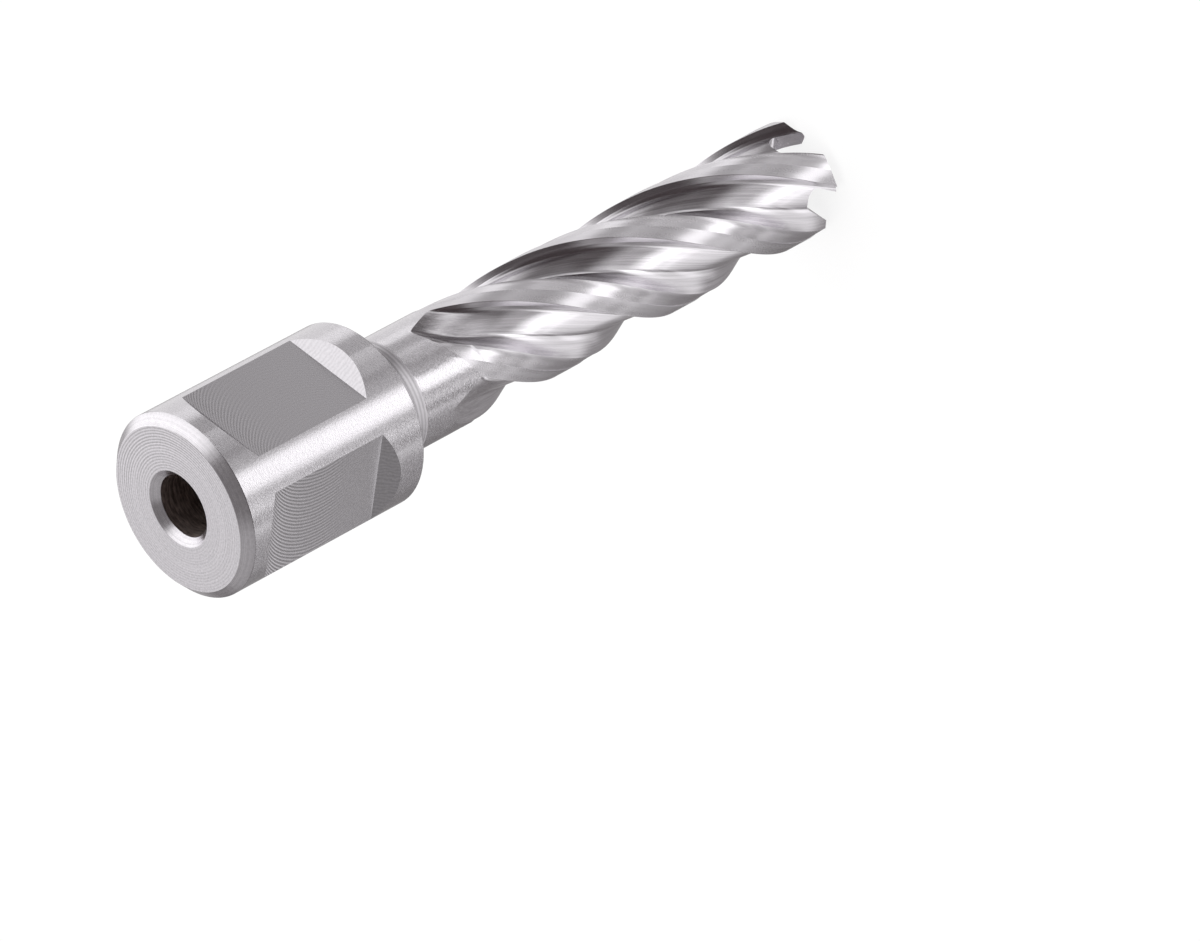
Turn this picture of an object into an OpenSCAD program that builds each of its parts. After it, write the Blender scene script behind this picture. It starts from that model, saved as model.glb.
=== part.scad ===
// Annular cutter: a hollow drill with a round two-flat shank, a slim neck,
// helical flutes and a ring of four gulleted teeth. One solid piece of steel.
// Millimetres. The axis is Z, the teeth point down and their peaks touch z = 0.

/* [Shank] */
// Diameter of the clamping shank
shank_diameter = 19.05; // [17.5:0.05:24]
// Length of the shank, from its end face to the shoulder above the neck
shank_length = 23.2; // [22.8:0.1:32]
// Bevel round the shank end face
shank_bevel = 1; // [0.4:0.1:1.6]
// Edge break on the shoulder
shoulder_break = 0.25; // [0.1:0.05:0.5]
// Depth of each clamping flat below the shank surface
flat_depth = 1.6; // [0.8:0.1:2]
// Distance from the end face to the start of the flat floor
flat_setback = 4.4; // [3.6:0.1:5]
// Length of the flat floor along the axis
flat_length = 14; // [10:0.5:15]
// Angle between the two flats round the axis
flat_spacing = 90; // [80:5:180]

/* [Neck and body] */
// Outside diameter of the neck and of the lands between the flutes
body_diameter = 12; // [11.4:0.1:14]
// Plain neck between the shoulder and the ends of the flutes
neck_length = 7; // [5:0.5:14]
// Radius of the fillet that flares from the neck out to the shoulder edge
neck_fillet = 3.8; // [1:0.1:4.6]

/* [Bores] */
// Bore for the ejector pin through the shank
pilot_diameter = 6.4; // [5.4:0.1:6.8]
// Countersunk mouth of that bore at the end face
pilot_mouth = 7.9; // [7:0.1:9]
// Extra radius of the bore inside the toothed part, which takes the core
core_relief = 0.2; // [0.2:0.05:0.5]
// Depth of the wider bore from the tooth peaks
core_depth = 58; // [44:1:60]

/* [Flutes] */
// Number of teeth, each with its flute
tooth_count = 4; // [3:1:5]
// Slope of the lands against the axis
helix_angle = 30; // [22:1:36]
// Length of the flutes from the tooth peaks to their upper ends
flute_length = 54.8; // [48:0.1:62]
// Depth of the flutes below the lands
flute_depth = 1.6; // [1.1:0.05:1.7]
// Share of the tooth pitch taken by the flute
flute_share = 0.64; // [0.56:0.01:0.68]
// Share of the tooth pitch taken by the full-diameter margin
margin_share = 0.18; // [0.12:0.01:0.24]
// Step down behind the margin
margin_step = 0.07; // [0.05:0.01:0.12]
// Height over which a flute rises out of the neck
flute_rise = 7; // [5:0.5:9]
// How much earlier the cutting side of a flute ends
flute_slant = 4.3; // [3:0.1:7]

/* [Teeth] */
// Depth of the gullets from the tooth peaks
gullet_depth = 4; // [2.8:0.1:4.6]
// Radius in the bottom of a gullet
gullet_radius = 0.95; // [0.6:0.05:1.1]
// Slope of the gullet back against the axis
gullet_back = 42; // [34:1:48]
// Slope of the crest from its peak down to the outside
crest_outer = 29; // [18:1:34]
// Slope of the crest from its peak down to the bore
crest_inner = 10; // [4:1:16]
// Clearance behind the cutting edges
crest_relief = 14; // [8:1:18]

/* [Hidden] */
$fn = 96;
big = 40;
shank_r = shank_diameter / 2;
body_r = body_diameter / 2;
pilot_r = pilot_diameter / 2;
core_r = pilot_r + core_relief;
shoulder_z = flute_length + neck_length;
overall = shoulder_z + shank_length;
pitch = 360 / tooth_count;
lead = PI * body_diameter / tan(helix_angle);
// Turn of the teeth and of the first flat against +X
tooth_turn = 17.5;
flat_turn = 180;
// Radius of the crest peak and how far it stands ahead of the cutting edge
crest_r = core_r + 0.3 * (body_r - core_r);
crest_lead = 0.43;
// Flute section: share of the flute width, share of the flute depth
flute_section = [
    [0.020, 0.46], [0.050, 0.71], [0.085, 0.83], [0.120, 0.88], [0.200, 0.925], [0.300, 0.965],
    [0.400, 0.99], [0.510, 1.00], [0.610, 0.99], [0.690, 0.955], [0.750, 0.785], [0.830, 0.54],
    [0.920, 0.275]
];
// Share of the flute width at which a flute reaches highest
flute_top_share = 0.7;
relief_start = flute_length - 4.5;
step_angle = 9;

function edge_angle(z) = tooth_turn + 360 * z / lead;
function flute_end(q) = q < flute_top_share
    ? flute_length - flute_slant * (1 - q / flute_top_share)
    : flute_length - 1.2 * (q - flute_top_share) / (1 - flute_top_share);
function rise(x) = x < 0 ? max(2 * x, -2) : (x < 1 ? 2 * x - x * x : 1);
function flute_r(q, d, z) =
    min(body_r + 1.1, body_r - flute_depth * d * rise((flute_end(q) - z) / flute_rise));
function relief_r(d, z) = body_r - d * max(-4, min(1, (relief_start - z) / 0.8));
function polar(r, a, z) = [r * cos(a), r * sin(a), z];

// One flute at height z: outer corner, cutting face, floor, heel, relief strip, outer corner
function flute_row(k, z) = let (
    e = edge_angle(z) + k * pitch,
    w = pitch * flute_share,
    m = pitch * (1 - margin_share)
) concat(
    [
        polar(1.7 * body_r, e - m / 2, z),
        polar(1.7 * body_r, e + 4, z),
        polar(body_r + 0.25, e + 0.4, z)
    ],
    [for (s = flute_section) polar(flute_r(s[0], s[1], z), e - w * s[0], z)],
    [
        polar(relief_r(2 * margin_step, z), e - w, z),
        polar(relief_r(margin_step, z), e - m, z),
        polar(body_r + 0.6, e - m - 0.9, z),
        polar(1.7 * body_r, e - m - 2, z)
    ]);

// All flutes as helical bodies that reach beyond the teeth and the outside
module flute_cutters() {
    curved_from = flute_length - flute_slant - flute_rise;
    low_rows = ceil((curved_from + 1.6) * 360 / (lead * step_angle));
    high_rows = 11;
    low = [for (i = [0:low_rows - 1]) -1.6 + i * (curved_from + 1.6) / low_rows];
    high = [for (i = [0:high_rows]) curved_from + i * (flute_length + 1.6 - curved_from) / high_rows];
    heights = concat(low, high);
    rows = len(heights);
    n = len(flute_section) + 7;
    points = [for (k = [0:tooth_count - 1], z = heights) each flute_row(k, z)];
    sides = [
        for (k = [0:tooth_count - 1], j = [0:rows - 2], i = [0:n - 1])
            let (f = (k * rows + j) * n, a = f + i, b = f + (i + 1) % n)
                each [[a, b + n, b], [a, a + n, b + n]]
    ];
    ends = [
        for (k = [0:tooth_count - 1])
            each [
                [for (i = [0:n - 1]) k * rows * n + i],
                [for (i = [n - 1:-1:0]) (k * rows + rows - 1) * n + i]
            ]
    ];
    polyhedron(points, concat(sides, ends), convexity = 6);
}

module turned_blank() {
    edge_r = shank_r - shoulder_break;
    reach = edge_r - body_r;
    turn = neck_fillet > reach ? acos(1 - reach / neck_fillet) : 90;
    fillet = [for (i = [0:9]) let (a = turn * i / 9)
        [body_r + neck_fillet * (1 - cos(a)), shoulder_z - neck_fillet * (sin(turn) - sin(a))]];
    shoulder = neck_fillet < reach - 0.01 ? [[edge_r, shoulder_z]] : [];
    rotate_extrude()
        polygon(concat(
            [[0, 0], [body_r, 0]],
            fillet,
            shoulder,
            [
                [shank_r, shoulder_z + shoulder_break],
                [shank_r, overall - shank_bevel],
                [shank_r - shank_bevel, overall],
                [0, overall]
            ]));
}

module bores() {
    mouth = (pilot_mouth - pilot_diameter) / 2;
    translate([0, 0, -1])
        cylinder(r = pilot_r, h = overall + 2);
    translate([0, 0, -1])
        cylinder(r = core_r, h = core_depth + 1);
    translate([0, 0, core_depth - 0.001])
        cylinder(r1 = core_r, r2 = pilot_r, h = core_r - pilot_r);
    translate([0, 0, overall - mouth])
        cylinder(r1 = pilot_r, r2 = pilot_r + 2 * mouth, h = 2 * mouth);
}

// Clamping flat facing +X, with a 45 degree slope at each end
module flat_cut() {
    floor_x = shank_r - flat_depth;
    top = overall - flat_setback;
    low = top - flat_length;
    out = flat_depth + 1;
    translate([0, shank_r, 0])
        rotate([90, 0, 0])
            linear_extrude(height = shank_diameter)
                polygon([
                    [floor_x, low],
                    [floor_x + out, low - out],
                    [floor_x + out, top + out],
                    [floor_x, top]
                ]);
}

// Gullet ahead of a cutting edge that points along +X; the cut goes out along its own middle
module gullet_cut() {
    r = gullet_radius;
    mid = -pitch / 6;
    zc = gullet_depth - r;
    yf = 0.19 * body_r;
    yb = 0.07 * body_r;
    front = helix_angle;
    top = -1.5;
    front_y = yf + r * cos(front) - (zc - r * sin(front) - top) * tan(front);
    back_y = yb - r * cos(gullet_back) - (zc + r * sin(gullet_back) - top) * tan(gullet_back);
    round_front = [for (i = [0:6]) let (a = -front + i * (90 + front) / 6)
        [yf + r * cos(a), zc + r * sin(a)]];
    round_back = [for (i = [0:5]) let (a = 90 + i * (90 - gullet_back) / 5)
        [yb + r * cos(a), zc + r * sin(a)]];
    rotate([0, 0, mid])
        rotate([90, 0, 90])
            translate([0, 0, 0.6])
                linear_extrude(height = body_diameter)
                    polygon(concat([[front_y, top]], round_front, round_back, [[back_y, top]]));
}

// Outer and inner clearance faces of the tooth whose cutting edge points along +X
module crest_cut() {
    translate([crest_r, -crest_lead, 0]) {
        rotate([atan(tan(crest_relief) * cos(crest_outer)), -crest_outer, 0])
            translate([-body_diameter / 2, -body_diameter / 2, -6])
                cube([body_diameter, body_diameter, 6]);
        rotate([atan(tan(crest_relief) * cos(crest_inner)), crest_inner, 0])
            translate([0.85 - crest_r, -0.8, -6])
                cube([crest_r - 0.8, 4.6, 6]);
    }
}

module cutter_body() {
    color([0.72, 0.73, 0.75])
        difference() {
            difference() {
                turned_blank();
                bores();
                for (k = [0:1])
                    rotate([0, 0, flat_turn - k * flat_spacing])
                        flat_cut();
                for (k = [0:tooth_count - 1])
                    rotate([0, 0, k * pitch + tooth_turn])
                        gullet_cut();
                for (k = [0:tooth_count - 1])
                    rotate([0, 0, k * pitch + tooth_turn])
                        crest_cut();
            }
            flute_cutters();
        }
}

cutter_body();
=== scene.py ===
import math

import bpy
import numpy as np
from mathutils import Matrix, Vector


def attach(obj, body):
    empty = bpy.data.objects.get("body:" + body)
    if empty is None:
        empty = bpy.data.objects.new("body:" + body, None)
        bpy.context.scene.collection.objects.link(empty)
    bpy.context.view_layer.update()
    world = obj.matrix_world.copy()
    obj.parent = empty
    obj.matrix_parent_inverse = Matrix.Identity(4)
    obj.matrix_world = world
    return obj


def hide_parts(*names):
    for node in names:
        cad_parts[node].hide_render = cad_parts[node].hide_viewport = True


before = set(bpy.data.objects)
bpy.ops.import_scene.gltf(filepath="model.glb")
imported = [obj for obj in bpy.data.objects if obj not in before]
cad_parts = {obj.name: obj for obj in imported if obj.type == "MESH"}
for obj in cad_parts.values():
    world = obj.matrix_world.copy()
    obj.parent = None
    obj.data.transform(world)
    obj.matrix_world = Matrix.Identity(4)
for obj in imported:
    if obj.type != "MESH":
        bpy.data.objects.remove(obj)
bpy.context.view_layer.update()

# Sizes in millimetres, as in the solid
MM = 0.001
SHANK_R = 9.525
SHANK_LENGTH = 23.2
SHANK_BEVEL = 1.0
SHOULDER_BREAK = 0.25
FLAT_DEPTH = 1.6
FLAT_SETBACK = 4.4
FLAT_LENGTH = 14.0
BODY_R = 6.0
NECK_LENGTH = 7.0
NECK_FILLET = 3.8
PILOT_R = 3.2
MOUTH_R = 3.95
CORE_R = 3.4
CORE_DEPTH = 58.0
TEETH = 4
PITCH = 360.0 / TEETH
HELIX = 30.0
LEAD = math.pi * 2 * BODY_R / math.tan(math.radians(HELIX))
TOOTH_TURN = 17.5
FLUTE_LENGTH = 54.8
FLUTE_DEPTH = 1.6
MEAN_FLUTE_R = BODY_R - 0.7
FLUTE_W = PITCH * 0.64
MARGIN_AT = PITCH * 0.82
MARGIN_STEP = 0.07
FLUTE_RISE = 7.0
FLUTE_SLANT = 4.3
FLUTE_DROP = 1.2
FLUTE_TOP = 0.7
RELIEF_START = FLUTE_LENGTH - 4.5
GULLET_DEPTH = 4.0
GULLET_R = 0.95
GULLET_BACK = 42.0
GULLET_FRONT_Y = 0.19 * BODY_R
GULLET_BACK_Y = 0.07 * BODY_R
GULLET_FROM = 0.6
CREST_OUTER = 29.0
CREST_INNER = 10.0
CREST_RELIEF = 14.0
CREST_R = CORE_R + 0.3 * (BODY_R - CORE_R)
CREST_LEAD = 0.43
CREST_CUT = 6.0
CREST_INNER_CUT = (0.85 - CREST_R, 0.05, -0.8, 3.8)
SHOULDER_Z = FLUTE_LENGTH + NECK_LENGTH
OVERALL = SHOULDER_Z + SHANK_LENGTH
FLAT_TOP = OVERALL - FLAT_SETBACK

# Small forms that only the scene has: bevels on edges, the step under the fillet, the rounding of a flute's
# top, the end of the relief, and in degrees the bevel of a cutting edge, the lip of the relief and the gap
# between margin and edge
EDGE = 0.03
FINE_EDGE = 0.02
FILLET_STEP = 0.05
TOP_ROUND = 0.35
RELIEF_FADE = 0.4
EDGE_AHEAD = 0.22
EDGE_BEHIND = 0.03
EDGE_SHARE = 0.022
RELIEF_LIP = 0.12
MARGIN_GAP = 0.55

# The blank starts below the tooth peaks, and the gullet cuts lower still
BELOW = -1.2
GULLET_LOW = -1.5
# The core bore is painted bright up to this height, as light coming in through the gullets would show it;
# above it the bore steel's dark colour is painted shade
CORE_MOUTH = 9.0

# Rows of the mesh
FLUTE_ROWS = 178
NECK_ROWS = 9
FILLET_ROWS = 19
FILLET_FIRST = 4
PILOT_ROWS = 10
CORE_ROWS = 60
SHANK_RINGS = (64.0, 68.0, 73.0, 78.0, 82.0)
FACE_RINGS = (8.0, 7.2, 6.4, 5.6, 4.8, 4.3)

# Edges between faces that turn by more than this stay sharp, in degrees
SHARP = 10.5

# Finishes, by slot number; the darker slope slot is painted shade, the bore slot is partly painted shade, and
# the last slot is bore painted as lit
SATIN, FACE, TURNED, MILLED, SLOPE, FLUTE, LAND, GROUND, BORE, FILLET, SHADED_SLOPE, LIT_CORE = range(12)

# Flute section as three curves, the cutting face, the floor and the heel, each with its number of columns:
# share of the flute width, share of the flute depth
FLUTE_SECTION = [
    ([(0.020, 0.41), (0.050, 0.615), (0.085, 0.70), (0.120, 0.729)], 13),
    ([(0.120, 0.729), (0.200, 0.789), (0.300, 0.863), (0.400, 0.932), (0.500, 0.992), (0.560, 1.023),
      (0.600, 1.040), (0.630, 1.040), (0.660, 1.029), (0.720, 0.955)], 27),
    ([(0.720, 0.955), (0.780, 0.846), (0.850, 0.671), (0.920, 0.433), (1.0, 0.07)], 11),
]
# Relieved strip behind a flute: share of the strip's width, share of the margin's step
RELIEF_SECTION = [(0.2, 2.1), (0.35, 1.8), (0.65, 1.4), (1.0, 1.0)]
# Columns of the margin, as shares of its width
MARGIN_SHARES = (0, 0.25, 0.5, 0.75)


def edge_angle(z):
    """Turn of the first cutting edge at a height, in degrees."""
    return TOOTH_TURN + 360.0 * z / LEAD


def flute_end(q):
    """Upper end of a flute over its width: two slopes with a rounded top between them."""
    up = FLUTE_LENGTH - FLUTE_SLANT * (1 - q / FLUTE_TOP)
    down = FLUTE_LENGTH - FLUTE_DROP * (q - FLUTE_TOP) / (1 - FLUTE_TOP)
    return 0.5 * (up + down - math.sqrt((up - down) ** 2 + TOP_ROUND))


def rise(x):
    """Share of the full depth, from none at a flute's end to all of it below the run-out."""
    return 0.0 if x <= 0 else (2 * x - x * x if x < 1 else 1.0)


def smooth_curve(points, count):
    """Points evenly spaced along a rounded curve through the given points."""
    steps = 24
    p = np.array(points, float)
    p = np.vstack([2 * p[0] - p[1], p, 2 * p[-1] - p[-2]])
    out = []
    for i in range(1, len(p) - 2):
        for t in np.linspace(0, 1, steps, endpoint=False):
            a, b, c, d = p[i - 1:i + 3]
            out.append(0.5 * (2 * b + (c - a) * t + (2 * a - 5 * b + 4 * c - d) * t ** 2
                              + (3 * b - a - 3 * c + d) * t ** 3))
    out.append(p[-2])
    out = np.array(out)
    run = np.concatenate([[0], np.cumsum(np.linalg.norm(np.diff(out, axis=0), axis=1))])
    at = np.linspace(0, run[-1], count)
    return np.stack([np.interp(at, run, out[:, k]) for k in range(2)], axis=1)


def tooth_columns():
    """Columns of one tooth: angle behind the cutting edge, share of the depth or step, kind of surface."""
    across = math.radians(FLUTE_W) * MEAN_FLUTE_R
    columns = [(-EDGE_AHEAD, 0.0, "land"), (EDGE_BEHIND, EDGE_SHARE, "flute")]
    for i, (part, count) in enumerate(FLUTE_SECTION):
        curve = smooth_curve([(q * across, d * FLUTE_DEPTH) for q, d in part], count)
        own = curve if i == 0 else curve[1:]
        columns += [(x / across * FLUTE_W, y / FLUTE_DEPTH, "flute") for x, y in own]
    strip = MARGIN_AT - FLUTE_W
    columns += [(FLUTE_W + s * strip, d, "relief") for s, d in RELIEF_SECTION]
    margin = PITCH - MARGIN_GAP - MARGIN_AT
    columns += [(MARGIN_AT + RELIEF_LIP + s * margin, 0.0, "land") for s in MARGIN_SHARES]
    return columns


COLUMNS = tooth_columns()
PER_TOOTH = len(COLUMNS)


def column_end(column):
    """Height at which a column leaves the flutes and lands and enters the neck."""
    a, _, kind = column
    if kind == "flute":
        return flute_end(max(0.0, min(1.0, a / FLUTE_W)))
    s = (a % PITCH - FLUTE_W) / (PITCH - FLUTE_W)
    return flute_end(1) + (flute_end(0) - flute_end(1)) * s


def column_radius(column, z):
    a, share, kind = column
    if kind == "flute":
        q = max(0.0, min(1.0, a / FLUTE_W))
        return BODY_R - FLUTE_DEPTH * share * rise((flute_end(q) - z) / FLUTE_RISE)
    if kind == "relief":
        return BODY_R - MARGIN_STEP * share * max(0.0, min(1.0, (RELIEF_START - z) / RELIEF_FADE))
    return BODY_R


def build_rows():
    """Rows of (radii, heights, finish of the band above) for one tooth's columns, and the fillet's foot."""
    edge_r = SHANK_R - SHOULDER_BREAK
    turn = math.acos(1 - (edge_r - BODY_R) / NECK_FILLET)
    fillet_z = SHOULDER_Z - NECK_FILLET * math.sin(turn)
    rows = []
    ends = [column_end(c) for c in COLUMNS]
    for t in np.linspace(0, 1, FLUTE_ROWS):
        zs = [BELOW + t * (e - BELOW) for e in ends]
        rows.append(([column_radius(c, z) for c, z in zip(COLUMNS, zs)], zs, None if t < 1 else SATIN))
    for t in np.linspace(0, 1, NECK_ROWS)[1:]:
        zs = [e + t * (fillet_z + FINE_EDGE - e) for e in ends]
        rows.append(([BODY_R] * PER_TOOTH, zs, SATIN if t < 1 else FILLET))

    def ring(r, z, finish):
        rows.append(([r] * PER_TOOTH, [z] * PER_TOOTH, finish))

    ring(BODY_R + FILLET_STEP, fillet_z + FILLET_STEP + FINE_EDGE, FILLET)
    ring(BODY_R + FILLET_STEP + 0.01, fillet_z + 0.5, FILLET)
    for t in np.linspace(0, 1, FILLET_ROWS)[FILLET_FIRST:]:
        a = turn * t
        drop = NECK_FILLET * (math.sin(turn) - math.sin(a))
        ring(BODY_R + NECK_FILLET * (1 - math.cos(a)), SHOULDER_Z - drop, FILLET)
    low, top = SHOULDER_Z + SHOULDER_BREAK, OVERALL - SHANK_BEVEL
    ring(SHANK_R - EDGE, low - EDGE, TURNED)
    for z in (low + EDGE, *SHANK_RINGS, top - EDGE):
        ring(SHANK_R, z, SATIN)
    ring(SHANK_R - EDGE, top + EDGE, TURNED)
    ring(SHANK_R - SHANK_BEVEL + EDGE, OVERALL - EDGE, TURNED)
    for r in (SHANK_R - SHANK_BEVEL - 2 * FINE_EDGE, *FACE_RINGS, MOUTH_R + 2 * FINE_EDGE):
        ring(r, OVERALL, FACE)
    mouth_z = OVERALL - (MOUTH_R - PILOT_R)
    ring(MOUTH_R - FINE_EDGE, OVERALL - FINE_EDGE, TURNED)
    ring(PILOT_R + FINE_EDGE, mouth_z + FINE_EDGE, TURNED)
    # Pilot bore rows, in the bore steel whose dark colour is partly painted shade
    for z in np.linspace(mouth_z - FINE_EDGE, CORE_DEPTH + CORE_R - PILOT_R, PILOT_ROWS):
        ring(PILOT_R, z, BORE)
    # Core bore rows: painted shade high up, painted light near the teeth
    for z in np.linspace(CORE_DEPTH, BELOW, CORE_ROWS):
        ring(CORE_R, z, BORE if z > CORE_MOUTH else LIT_CORE)
    return rows, fillet_z


def build_blank():
    """The cutter without its flats, gullets and crests: rows of columns that close round the bore."""
    rows, fillet_z = build_rows()
    verts = []
    for radii, heights, _ in rows:
        for k in range(TEETH):
            for (a, _, _), r, z in zip(COLUMNS, radii, heights):
                t = math.radians(edge_angle(min(z, fillet_z)) - k * PITCH - a)
                verts.append((r * math.cos(t) * MM, r * math.sin(t) * MM, z * MM))
    n = TEETH * PER_TOOTH
    kinds = {"flute": FLUTE, "relief": GROUND, "land": LAND}
    faces, finish = [], []
    count = len(rows)
    for i in range(count):
        j = (i + 1) % count
        band = rows[i][2] if j else LIT_CORE
        for c in range(n):
            d = (c + 1) % n
            faces.append((i * n + c, j * n + c, j * n + d, i * n + d))
            finish.append(kinds[COLUMNS[d % PER_TOOTH][2]] if band is None else band)
    return solid("blank", verts, faces, finish)


def solid(name, verts, faces, finish):
    """Closed mesh object with outward normals and one finish per face."""
    mesh = bpy.data.meshes.new(name)
    mesh.from_pydata(verts, [], faces)
    mesh.update()
    v = np.array(verts)
    volume = 0.0
    for f in faces:
        for k in range(1, len(f) - 1):
            volume += np.dot(v[f[0]], np.cross(v[f[k]], v[f[k + 1]]))
    if volume < 0:
        mesh.flip_normals()
    for m in MATERIALS:
        mesh.materials.append(m)
    mesh.polygons.foreach_set("material_index", np.array(finish, np.int32))
    obj = bpy.data.objects.new(name, mesh)
    bpy.context.scene.collection.objects.link(obj)
    return obj


def prism(name, outline, low, high, place, finish, ends):
    """Closed prism of an outline in (y, z), along x from low to high, put in place by a matrix."""
    n = len(outline)
    verts = [place @ Vector((x, y, z)) for x in (low, high) for y, z in outline]
    verts = [tuple(c * MM for c in v) for v in verts]
    faces = [(i, (i + 1) % n, n + (i + 1) % n, n + i) for i in range(n)]
    faces += [tuple(range(n - 1, -1, -1)), tuple(range(n, 2 * n))]
    return solid(name, verts, faces, list(finish) + [ends, ends])


def turn_z(a):
    return Matrix.Rotation(math.radians(a), 4, "Z")


def flat_cutter(name, direction, lower_slope):
    floor = SHANK_R - FLAT_DEPTH
    low = FLAT_TOP - FLAT_LENGTH
    out = FLAT_DEPTH + 1
    outline = [(floor, low), (floor + out, low - out), (floor + out, FLAT_TOP + out), (floor, FLAT_TOP)]
    # The outline lies in (x, z) and runs along y
    place = turn_z(direction) @ Matrix(((0, 1, 0, 0), (-1, 0, 0, 0), (0, 0, 1, 0), (0, 0, 0, 1)))
    return prism(name, outline, -SHANK_R, SHANK_R, place, [lower_slope, SATIN, SLOPE, MILLED], SATIN)


def gullet_cutter(name, k):
    r = GULLET_R
    zc = GULLET_DEPTH - r
    front, back = math.radians(HELIX), math.radians(GULLET_BACK)
    front_run = (zc - r * math.sin(front) - GULLET_LOW) * math.tan(front)
    back_run = (zc + r * math.sin(back) - GULLET_LOW) * math.tan(back)
    outline = [(GULLET_FRONT_Y + r * math.cos(front) - front_run, GULLET_LOW)]
    for t in np.linspace(-front, math.pi / 2, 20):
        outline.append((GULLET_FRONT_Y + r * math.cos(t), zc + r * math.sin(t)))
    for t in np.linspace(math.pi / 2, math.pi - back, 12):
        outline.append((GULLET_BACK_Y + r * math.cos(t), zc + r * math.sin(t)))
    outline.append((GULLET_BACK_Y - r * math.cos(back) - back_run, GULLET_LOW))
    place = turn_z(k * PITCH + TOOTH_TURN - PITCH / 6)
    reach = GULLET_FROM + 2 * BODY_R
    return prism(name, outline, GULLET_FROM, reach, place, [GROUND] * len(outline), GROUND)


def crest_cutter(name, k, inner):
    """Clearance face from the crest peak down to the outside, or down to the bore."""
    slope = CREST_INNER if inner else -CREST_OUTER
    relief = math.atan(math.tan(math.radians(CREST_RELIEF)) * math.cos(math.radians(slope)))
    place = (turn_z(k * PITCH + TOOTH_TURN) @ Matrix.Translation((CREST_R, -CREST_LEAD, 0))
             @ Matrix.Rotation(math.radians(slope), 4, "Y") @ Matrix.Rotation(relief, 4, "X"))
    x0, x1, y0, y1 = CREST_INNER_CUT if inner else (-BODY_R, BODY_R, -BODY_R, BODY_R)
    outline = [(y0, -CREST_CUT), (y1, -CREST_CUT), (y1, 0), (y0, 0)]
    return prism(name, outline, x0, x1, place, [GROUND] * 4, GROUND)


# Materials


class Nodes:
    """Short names for building a node tree."""

    def __init__(self, tree):
        self.t = tree
        self.t.nodes.clear()

    def new(self, kind, **props):
        n = self.t.nodes.new(kind)
        for k, v in props.items():
            setattr(n, k, v)
        return n

    def put(self, socket, value):
        if isinstance(value, bpy.types.NodeSocket):
            self.t.links.new(value, socket)
        else:
            socket.default_value = value

    def math(self, op, a, b=0.0, c=0.0):
        n = self.new("ShaderNodeMath", operation=op)
        for s, v in zip(n.inputs, (a, b, c)):
            self.put(s, v)
        return n.outputs[0]

    def vec(self, op, a, b=(0, 0, 0)):
        n = self.new("ShaderNodeVectorMath", operation=op)
        self.put(n.inputs[0], a)
        self.put(n.inputs[1], b)
        return n.outputs["Value"] if op in ("DOT_PRODUCT", "LENGTH") else n.outputs[0]

    def blend(self, a, share, b, other):
        """Weighted sum of two values."""
        return self.math("ADD", self.math("MULTIPLY", a, share), self.math("MULTIPLY", b, other))

    def span(self, x, a, b, c=0.0, d=1.0, kind="SMOOTHSTEP"):
        n = self.new("ShaderNodeMapRange", interpolation_type=kind)
        for name, v in (("Value", x), ("From Min", a), ("From Max", b), ("To Min", c), ("To Max", d)):
            self.put(n.inputs[name], v)
        return n.outputs[0]

    def noise(self, vector, stretch, detail=2.0, rough=0.5):
        """Noise over a place, with its number of grains per metre along each axis."""
        n = self.new("ShaderNodeTexNoise", noise_dimensions="3D")
        self.put(n.inputs["Vector"], self.vec("MULTIPLY", vector, stretch))
        n.inputs["Scale"].default_value = 1.0
        n.inputs["Detail"].default_value = detail
        n.inputs["Roughness"].default_value = rough
        return n.outputs[0]

    def waves(self, x, period):
        """Even marks from 0 to 1, one per period."""
        turn = self.math("MULTIPLY", x, 2 * math.pi / period)
        return self.math("MULTIPLY_ADD", self.math("SINE", turn), 0.5, 0.5)

    def place(self):
        return self.new("ShaderNodeTexCoord").outputs["Object"]

    def split(self, v):
        n = self.new("ShaderNodeSeparateXYZ")
        self.put(n.inputs[0], v)
        return n.outputs

    def join(self, x, y, z):
        n = self.new("ShaderNodeCombineXYZ")
        for s, v in zip(n.inputs, (x, y, z)):
            self.put(s, v)
        return n.outputs[0]

    def turned(self, vector, angle):
        """A vector turned about the axis by an angle in radians."""
        n = self.new("ShaderNodeVectorRotate", rotation_type="Z_AXIS")
        self.put(n.inputs["Vector"], vector)
        self.put(n.inputs["Angle"], angle)
        return n.outputs[0]

    def ramp(self, x, stops):
        n = self.new("ShaderNodeValToRGB")
        self.put(n.inputs[0], x)
        e = n.color_ramp.elements
        while len(e) < len(stops):
            e.new(0.5)
        for el, (at, colour) in zip(e, stops):
            el.position = at
            el.color = (*colour, 1)
        return n.outputs[0]

    def bump(self, height, strength, distance):
        n = self.new("ShaderNodeBump")
        n.inputs["Strength"].default_value = strength
        n.inputs["Distance"].default_value = distance
        self.put(n.inputs["Height"], height)
        return n.outputs[0]

    def metal(self, colour, roughness, normal, aniso=0.0, turn=0.0, tangent=None):
        n = self.new("ShaderNodeBsdfPrincipled")
        self.put(n.inputs["Base Color"], colour)
        n.inputs["Metallic"].default_value = 1.0
        self.put(n.inputs["Roughness"], roughness)
        self.put(n.inputs["Normal"], normal)
        n.inputs["Anisotropic"].default_value = aniso
        n.inputs["Anisotropic Rotation"].default_value = turn
        if tangent is not None:
            self.put(n.inputs["Tangent"], tangent)
        out = self.new("ShaderNodeOutputMaterial")
        self.t.links.new(n.outputs[0], out.inputs[0])


def material(name):
    m = bpy.data.materials.new(name)
    m.use_nodes = True
    return m, Nodes(m.node_tree)


def tint(level):
    """Steel grey of a level, a little towards violet."""
    return (level, level * 0.975, level * 1.015)


# Marks of the tools, in metres: depth of the grain, feed on the end face, mill radius and feed on the flats
GRAIN = 0.00002
DEEP_GRAIN = 0.00003
FACE_FEED = 0.00029
MILL_R = 0.0078
FEED = 0.00042
# Mill arcs show above this height on the first flat, from lower down on the second, and fade at the upper end
ARCS_FROM = 0.0755
ARCS_LOWER = 0.0055
ARCS_SOFT = 0.004
ARCS_END = 0.0011


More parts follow.
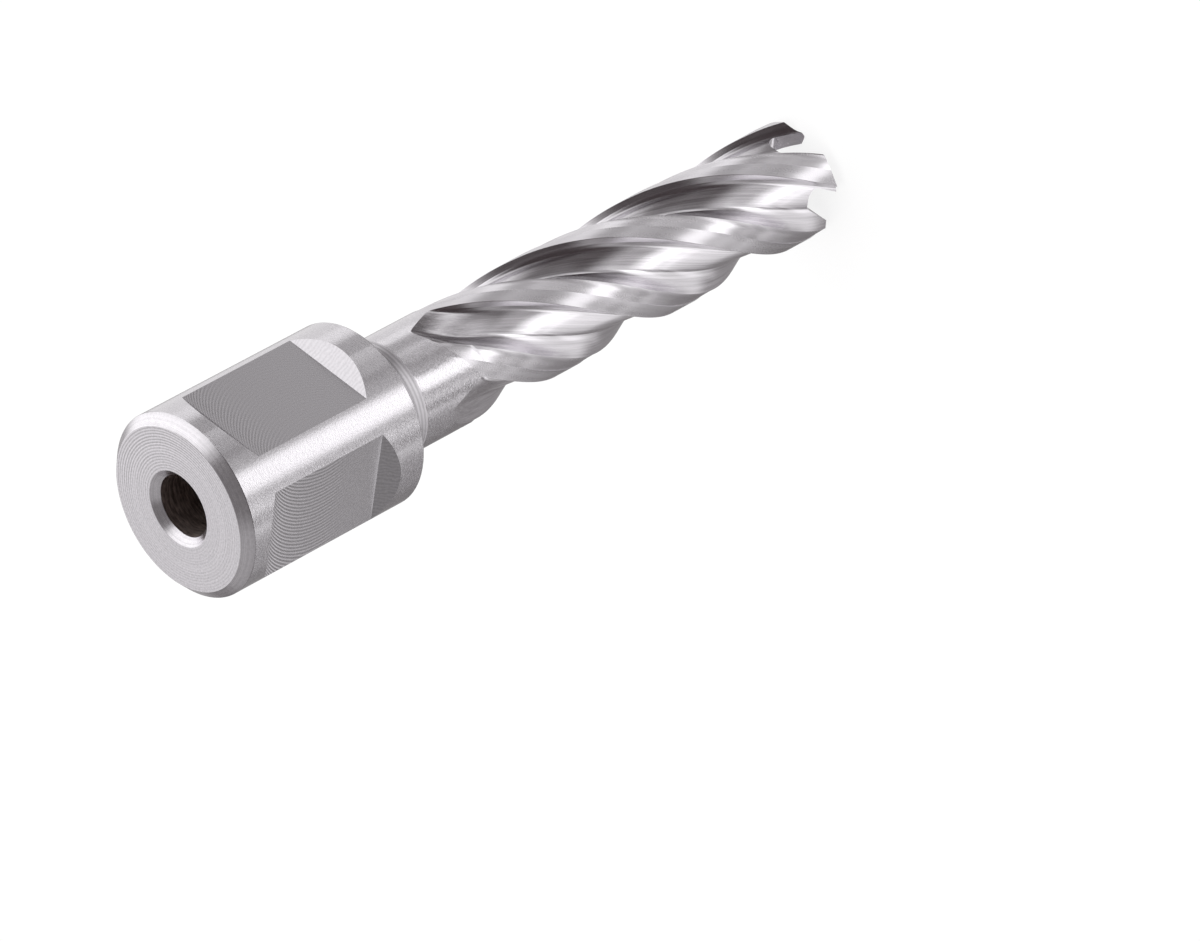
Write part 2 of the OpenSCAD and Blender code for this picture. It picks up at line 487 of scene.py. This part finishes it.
def satin_steel():
    """Ground cylinder: fine grain drawn out a little round the circumference."""
    m, n = material("steel_satin")
    p = n.place()
    grain = n.noise(p, (5200, 5200, 9000), 2.0, 0.6)
    fine = n.noise(p, (1500, 1500, 6200), 3.0, 0.6)
    wide = n.noise(p, (240, 240, 1300))
    mixed = n.math("MULTIPLY_ADD", wide, 0.08, n.blend(grain, 0.65, fine, 0.27))
    colour = n.ramp(mixed, [(0.34, tint(0.54)), (0.5, tint(0.64)), (0.66, tint(0.74))])
    rough = n.math("MULTIPLY_ADD", mixed, 0.16, 0.12)
    tangent = n.new("ShaderNodeTangent", direction_type="RADIAL", axis="Z").outputs[0]
    n.metal(colour, rough, n.bump(mixed, 0.5, GRAIN), 0.35, 0.25, tangent)
    return m


def face_steel():
    """End face turned on a lathe: fine rings about the axis, their colour contrast painted stronger on one
    side as a painted sheen of light grazing them.
    """
    m, n = material("steel_turned_face")
    p = n.place()
    x, y, _ = n.split(p)
    r = n.vec("LENGTH", n.join(x, y, 0.0))
    drift = n.noise(p, (240, 240, 240))
    rings = n.waves(n.math("MULTIPLY_ADD", drift, 0.00012, r), FACE_FEED)
    odd = n.noise(n.join(r, drift, 0.0), (6000, 0.5, 1), 3.0, 0.65)
    # Painted sheen: the rings' colour contrast rises towards one side of the face, where light would graze
    # them
    seen = n.span(n.math("SUBTRACT", n.math("MULTIPLY", y, -1.0), x), -0.002, 0.010, 0.12, 0.42)
    grain = n.noise(p, (4400, 4400, 4400), 3.0, 0.65)
    rings = n.math("MULTIPLY_ADD", n.math("SUBTRACT", rings, 0.5), seen, 0.5)
    mixed = n.math("MULTIPLY_ADD", grain, 0.35, n.blend(rings, 0.45, odd, 0.2))
    colour = n.ramp(mixed, [(0.37, tint(0.46)), (0.5, tint(0.685)), (0.63, tint(0.89))])
    rough = n.math("MULTIPLY_ADD", grain, 0.14, 0.36)
    n.metal(colour, rough, n.bump(mixed, 0.3, GRAIN))
    return m


def turned_steel():
    """Bevels and countersink: bright turned bands."""
    m, n = material("steel_turned")
    p = n.place()
    x, y, z = n.split(p)
    r = n.vec("LENGTH", n.join(x, y, 0.0))
    lines = n.noise(n.join(r, z, 0.0), (7000, 7000, 1), 2.0, 0.6)
    grain = n.noise(p, (2600, 2600, 4800), 3.0, 0.6)
    colour = n.ramp(n.blend(lines, 0.55, grain, 0.45), [(0.32, tint(0.60)), (0.68, tint(0.82))])
    rough = n.math("MULTIPLY_ADD", grain, 0.14, 0.16)
    n.metal(colour, rough, n.bump(lines, 0.25, GRAIN))
    return m


def fillet_steel():
    """Fillet under the shoulder: turned but not ground, with coarse rings."""
    m, n = material("steel_fillet")
    p = n.place()
    x, y, z = n.split(p)
    r = n.vec("LENGTH", n.join(x, y, 0.0))
    along = n.math("SUBTRACT", z, r)
    grain = n.noise(p, (2600, 2600, 4800), 3.0, 0.6)
    rings = n.waves(n.math("MULTIPLY_ADD", grain, 0.0001, along), FEED)
    mixed = n.blend(rings, 0.55, grain, 0.45)
    colour = n.ramp(mixed, [(0.25, tint(0.52)), (0.75, tint(0.70))])
    n.metal(colour, n.math("MULTIPLY_ADD", grain, 0.16, 0.36), n.bump(mixed, 0.22, DEEP_GRAIN))
    return m


def feed_place(n, p):
    """Way across a flat, the bow of the mill's arcs there, and whether it is the second flat."""
    x, y, z = n.split(p)
    along = n.math("SUBTRACT", z, (FLAT_TOP - FLAT_LENGTH / 2) * MM)
    bow = n.math("SUBTRACT", MILL_R ** 2, n.math("MULTIPLY", along, along))
    bow = n.math("SQRT", n.math("MAXIMUM", bow, 0.0))
    first = n.math("LESS_THAN", n.math("ADD", x, y), 0.0)
    second = n.math("SUBTRACT", 1.0, first)
    across = n.math("SUBTRACT", n.math("MULTIPLY", y, first), n.math("MULTIPLY", x, second))
    return across, bow, second, z


def milled_steel():
    """Clamping flats: even arcs left by a mill that went across, plainest in the lower half."""
    m, n = material("steel_milled")
    p = n.place()
    across, bow, second, z = feed_place(n, p)
    drift = n.noise(p, (300, 300, 300))
    arcs = n.waves(n.math("MULTIPLY_ADD", drift, 0.00025, n.math("ADD", across, bow)), FEED)
    grain = n.noise(p, (5200, 5200, 5200), 3.0, 0.6)
    low = n.math("MULTIPLY_ADD", second, -ARCS_LOWER, ARCS_FROM)
    seen = n.span(z, low, n.math("ADD", low, ARCS_SOFT))
    seen = n.math("MULTIPLY", seen, n.span(z, FLAT_TOP * MM - ARCS_END, FLAT_TOP * MM, 1.0, 0.35))
    seen = n.math("MULTIPLY", seen, n.math("MULTIPLY_ADD", second, 0.55, 0.45))
    seen = n.math("MULTIPLY_ADD", seen, 0.85, 0.08)
    lines = n.math("MULTIPLY_ADD", n.math("SUBTRACT", arcs, 0.5), seen, 0.5)
    mixed = n.blend(lines, 0.7, grain, 0.3)
    colour = n.ramp(mixed, [(0.2, tint(0.44)), (0.5, tint(0.58)), (0.8, tint(0.72))])
    rough = n.math("MULTIPLY_ADD", grain, 0.12, 0.20)
    n.metal(colour, rough, n.bump(lines, 0.35, GRAIN))
    return m


def slope_steel(name, level):
    """Sloped ends of the flats: straight feed marks down the slope."""
    m, n = material(name)
    p = n.place()
    across, *_ = feed_place(n, p)
    drift = n.noise(p, (700, 700, 700))
    marks = n.waves(n.math("MULTIPLY_ADD", drift, 0.0010, across), FEED)
    grain = n.noise(p, (4200, 4200, 4200), 3.0, 0.6)
    mixed = n.blend(marks, 0.2, grain, 0.8)
    colour = n.ramp(mixed, [(0.25, tint(level - 0.10)), (0.75, tint(level + 0.08))])
    n.metal(colour, n.math("MULTIPLY_ADD", grain, 0.12, 0.24), n.bump(mixed, 0.3, GRAIN))
    return m


def helix_place(n):
    """Place, and place with the twist of the flutes taken out, so that streaks can run along them."""
    p = n.place()
    _, _, z = n.split(p)
    return p, n.turned(p, n.math("MULTIPLY", z, -2 * math.pi / (LEAD * MM)))


def flute_steel():
    """Ground flutes: bright, with streaks along the helix."""
    m, n = material("steel_flute")
    p, h = helix_place(n)
    streak = n.noise(h, (4200, 4200, 90), 3.0, 0.65)
    broad = n.noise(h, (1300, 1300, 45))
    cloud = n.noise(p, (210, 210, 210))
    mixed = n.blend(streak, 0.6, broad, 0.4)
    colour = n.ramp(mixed, [(0.32, tint(0.56)), (0.5, tint(0.71)), (0.68, tint(0.83))])
    rough = n.math("ADD", n.blend(mixed, 0.16, cloud, 0.08), 0.10)
    n.metal(colour, rough, n.bump(mixed, 0.18, DEEP_GRAIN))
    return m


def land_steel(name, level, smooth):
    """Lands: ground to size, with fine grain and faint bands along the helix."""
    m, n = material(name)
    p, h = helix_place(n)
    fine = n.noise(p, (4800, 4800, 8800), 3.0, 0.6)
    broad = n.noise(h, (900, 900, 70))
    mixed = n.blend(fine, 0.3, broad, 0.7)
    colour = n.ramp(mixed, [(0.32, tint(level - 0.06)), (0.68, tint(level + 0.06))])
    n.metal(colour, n.math("MULTIPLY_ADD", mixed, 0.16, smooth), n.bump(mixed, 0.03, GRAIN))
    return m


def bore_steel():
    """Drilled bore: dull and brownish, with rings, its colour darkened as painted shade of the deep hole."""
    m, n = material("steel_bore")
    lines = n.noise(n.place(), (900, 900, 4200), 3.0, 0.65)
    colour = n.ramp(lines, [(0.35, (0.24, 0.19, 0.175)), (0.65, (0.56, 0.48, 0.45))])
    n.metal(colour, n.math("MULTIPLY_ADD", lines, 0.3, 0.40), n.bump(lines, 0.6, 0.00005))
    return m


# In the order of the slot numbers
MATERIALS = [
    satin_steel(),
    face_steel(),
    turned_steel(),
    milled_steel(),
    slope_steel("steel_slope", 0.66),
    flute_steel(),
    land_steel("steel_land", 0.65, 0.20),
    land_steel("steel_ground", 0.68, 0.18),
    bore_steel(),
    fillet_steel(),
    # Darker copy of the slope steel, for the second flat's lower slope: painted shade
    slope_steel("steel_slope_shaded", 0.46),
    # Bright copy of the land steel for the core bore near the teeth: painted light
    land_steel("steel_core_lit", 0.88, 0.42),
]


def cut_cutter():
    """The blank with its flats, gullets and crests cut, as one plain mesh."""
    body = build_blank()
    # The second flat's lower slope takes the darker copy of the slope steel, which is painted shade
    cutters = [flat_cutter("flat_a", 180, SLOPE), flat_cutter("flat_b", 90, SHADED_SLOPE)]
    for k in range(TEETH):
        cutters.append(gullet_cutter(f"gullet_{k}", k))
        cutters.append(crest_cutter(f"crest_out_{k}", k, False))
        cutters.append(crest_cutter(f"crest_in_{k}", k, True))
    for c in cutters:
        b = body.modifiers.new(c.name, "BOOLEAN")
        b.operation = "DIFFERENCE"
        b.solver = "MANIFOLD"
        b.object = c
    bpy.context.view_layer.update()
    cut = bpy.data.meshes.new_from_object(body.evaluated_get(bpy.context.evaluated_depsgraph_get()))
    body.modifiers.clear()
    old = body.data
    body.data = cut
    bpy.data.meshes.remove(old)
    for c in cutters:
        mesh = c.data
        bpy.data.objects.remove(c)
        bpy.data.meshes.remove(mesh)
    cut.name = body.name = "cutter"
    return body


def smooth_faces(mesh):
    mesh.polygons.foreach_set("use_smooth", np.ones(len(mesh.polygons), bool))


cutter = cut_cutter()
smooth_faces(cutter.data)
cutter.data.set_sharp_from_angle(angle=math.radians(SHARP))
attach(cutter, "root")
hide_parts("cutter_body")


# Stage, in metres: a pale floor that sweeps up into a wall on all sides

FLOOR_RINGS = (0.3, 0.9, 1.6)
SWEEP_R = 0.8
WALL_TOP = 3.2
FLOOR_SIDES = 96
FLOOR_GREY = 0.2
FLOOR_GLOW = 0.83


def build_floor():
    n = FLOOR_SIDES
    flat_r = FLOOR_RINGS[-1]
    outline = [(r, 0.0) for r in FLOOR_RINGS]
    for a in np.linspace(0, math.pi / 2, 13)[1:]:
        outline.append((flat_r + SWEEP_R * math.sin(a), SWEEP_R * (1 - math.cos(a))))
    outline.append((flat_r + SWEEP_R, WALL_TOP))
    turns = [2 * math.pi * i / n for i in range(n)]
    verts = [(r * math.cos(t), r * math.sin(t), z) for r, z in outline for t in turns]
    verts.append((0, 0, 0))
    faces = []
    for j in range(len(outline) - 1):
        low, high = j * n, (j + 1) * n
        faces += [(low + i, high + i, high + (i + 1) % n, low + (i + 1) % n) for i in range(n)]
    faces += [(len(verts) - 1, i, (i + 1) % n) for i in range(n)]
    mesh = bpy.data.meshes.new("floor")
    mesh.from_pydata(verts, [], faces)
    smooth_faces(mesh)
    floor = bpy.data.objects.new("floor", mesh)
    bpy.context.scene.collection.objects.link(floor)
    m, nt = material("floor_pale")
    out = nt.new("ShaderNodeOutputMaterial")
    mix = nt.new("ShaderNodeAddShader")
    diffuse = nt.new("ShaderNodeBsdfDiffuse")
    diffuse.inputs["Color"].default_value = (FLOOR_GREY, FLOOR_GREY, FLOOR_GREY, 1)
    glow = nt.new("ShaderNodeEmission")
    glow.inputs["Color"].default_value = (1, 1, 1, 1)
    glow.inputs["Strength"].default_value = FLOOR_GLOW
    nt.t.links.new(diffuse.outputs[0], mix.inputs[0])
    nt.t.links.new(glow.outputs[0], mix.inputs[1])
    nt.t.links.new(mix.outputs[0], out.inputs[0])
    mesh.materials.append(m)
    floor.visible_glossy = False
    floor.visible_shadow = False
    floor.visible_diffuse = False


build_floor()


# Light: a studio of soft panels all round, as the world

BASE_LIGHT = 0.42
# How much less green and blue the light has than red
LESS_GREEN = 0.012
LESS_BLUE = 0.010
# Bright cards, in degrees: azimuth, half width, softness, lowest and highest elevation, softness; then level
CARDS = [
    (243, 55, 10, -9, 52, 8, 0.92),
    (269, 36, 5, -45, -24, 5, 0.52),
    (246, 8, 6, -45, -25, 5, 0.40),
    (262, 12, 6, -54, -44, 4, 0.30),
    (216, 20, 8, -41, -34, 3, 0.44),
    (191, 14, 7, -44, -34, 4, 0.58),
    (160, 14, 8, -48, -34, 4, 0.08),
    (154, 14, 6, -33, -28, 2, 0.50),
    (131, 12, 6, -50, -33, 4, 1.85),
    (97, 20, 6, -32, -20, 3, 1.05),
    (62, 44, 8, -31, -9, 3, 0.85),
    (8, 20, 8, -31, -18, 4, 0.15),
    (163, 20, 8, -62, -50, 4, 0.85),
    (118, 66, 14, -86, -50, 5, 0.50),
    (66, 34, 8, -60, -41, 3, 0.50),
    (100, 8, 5, -44, -32, 5, 0.12),
    (70, 7, 5, -44, -32, 5, 0.14),
    (325, 35, 15, 10, 70, 15, 0.46),
]
# Dark flags: share of the light that stays, then a place as for the cards, and for one a lean of its sides
FLAGS = [
    (0.12, 155, 44, 7, -31.5, 22, 4, 105),
    (0.50, 130, 48, 14, 20, 74, 8),
    (0.70, 95, 17, 6, -46, -34, 2),
    (0.42, 85, 6, 4, -47, -33, 3),
    (0.65, 85, 5, 4, -35, -22, 3),
    (0.50, 20, 45, 12, -41, -33, 3),
    (0.72, 20, 45, 12, -74, -40, 4),
    (0.55, 8, 30, 10, -17, 8, 5),
    (0.60, 45, 25, 10, -7, 12, 5),
    (0.60, 268, 18, 8, -64, -54, 4),
    (0.40, 292, 14, 6, -56, -43, 4),
    (0.62, 232, 25, 10, -82, -54, 6),
    (0.35, 212, 26, 10, -78, -43, 3),
]


def height_of(elevation):
    """Height of a direction at an elevation in degrees, on a unit sphere."""
    return math.sin(math.radians(max(-90, min(90, elevation))))


def build_world():
    world = bpy.data.worlds.new("studio")
    bpy.context.scene.world = world
    world.use_nodes = True
    n = Nodes(world.node_tree)
    x, y, z = n.split(n.new("ShaderNodeTexCoord").outputs["Generated"])
    level_way = n.vec("NORMALIZE", n.join(x, y, 0.0))

    def window(az, half, soft, low, high, soft_el, lean=0):
        """1 inside a soft-edged window of directions, 0 outside."""
        a = math.radians(az)
        way = n.turned(level_way, n.math("MULTIPLY", z, math.radians(lean))) if lean else level_way
        c = n.vec("DOT_PRODUCT", way, (math.cos(a), math.sin(a), 0))
        w = n.span(c, math.cos(math.radians(half + soft)), math.cos(math.radians(max(0.0, half - soft))))
        w = n.math("MULTIPLY", w, n.span(z, height_of(low - soft_el), height_of(low + soft_el)))
        above = n.span(z, height_of(high - soft_el), height_of(high + soft_el), 1.0, 0.0)
        return n.math("MULTIPLY", w, above)

    light = BASE_LIGHT
    for *place, level in CARDS:
        light = n.math("MULTIPLY_ADD", window(*place), level, light)
    for keep, *place in FLAGS:
        light = n.math("MULTIPLY", light, n.span(window(*place), 0.0, 1.0, 1.0, keep, "LINEAR"))
    light = n.math("MAXIMUM", light, 0.0)
    green = n.math("MAXIMUM", n.math("SUBTRACT", light, LESS_GREEN), 0.0)
    blue = n.math("MAXIMUM", n.math("SUBTRACT", light, LESS_BLUE), 0.0)
    bg = n.new("ShaderNodeBackground")
    n.put(bg.inputs["Color"], n.join(light, green, blue))
    out = n.new("ShaderNodeOutputWorld")
    n.t.links.new(bg.outputs[0], out.inputs[0])


build_world()

# A wide lamp for the floor, which the steel doesn't show
lamp = bpy.data.lights.new("floor_light", "AREA")
lamp.shape = "DISK"
lamp.size = 1.6
lamp.energy = 14.0
lamp_obj = bpy.data.objects.new("floor_light", lamp)
lamp_obj.location = (-0.3, 0.2, 1.5)
lamp_obj.rotation_euler = (Vector((0, 0, 0)) - lamp_obj.location).to_track_quat("-Z", "Y").to_euler()
lamp_obj.visible_glossy = False
bpy.context.scene.collection.objects.link(lamp_obj)


# Camera: a long lens above the shank side, rolled as in the photograph

camera = bpy.data.cameras.new("camera")
camera.lens = 280.771
camera.sensor_width = 36.0
camera.sensor_fit = "HORIZONTAL"
camera.clip_start = 0.01
camera.clip_end = 20.0
right = Vector((-0.12314, 0.69992, -0.70352))
up = Vector((-0.75626, -0.52521, -0.39016))
back = Vector((-0.64258, 0.48400, 0.59400))
eye = bpy.data.objects.new("camera", camera)
pose = Matrix((right, up, back)).transposed().to_4x4()
pose.translation = Vector((-0.572256, 0.451111, 0.577659))
eye.matrix_world = pose
bpy.context.scene.collection.objects.link(eye)
bpy.context.scene.camera = eye
bpy.context.scene.view_settings.view_transform = "Standard"
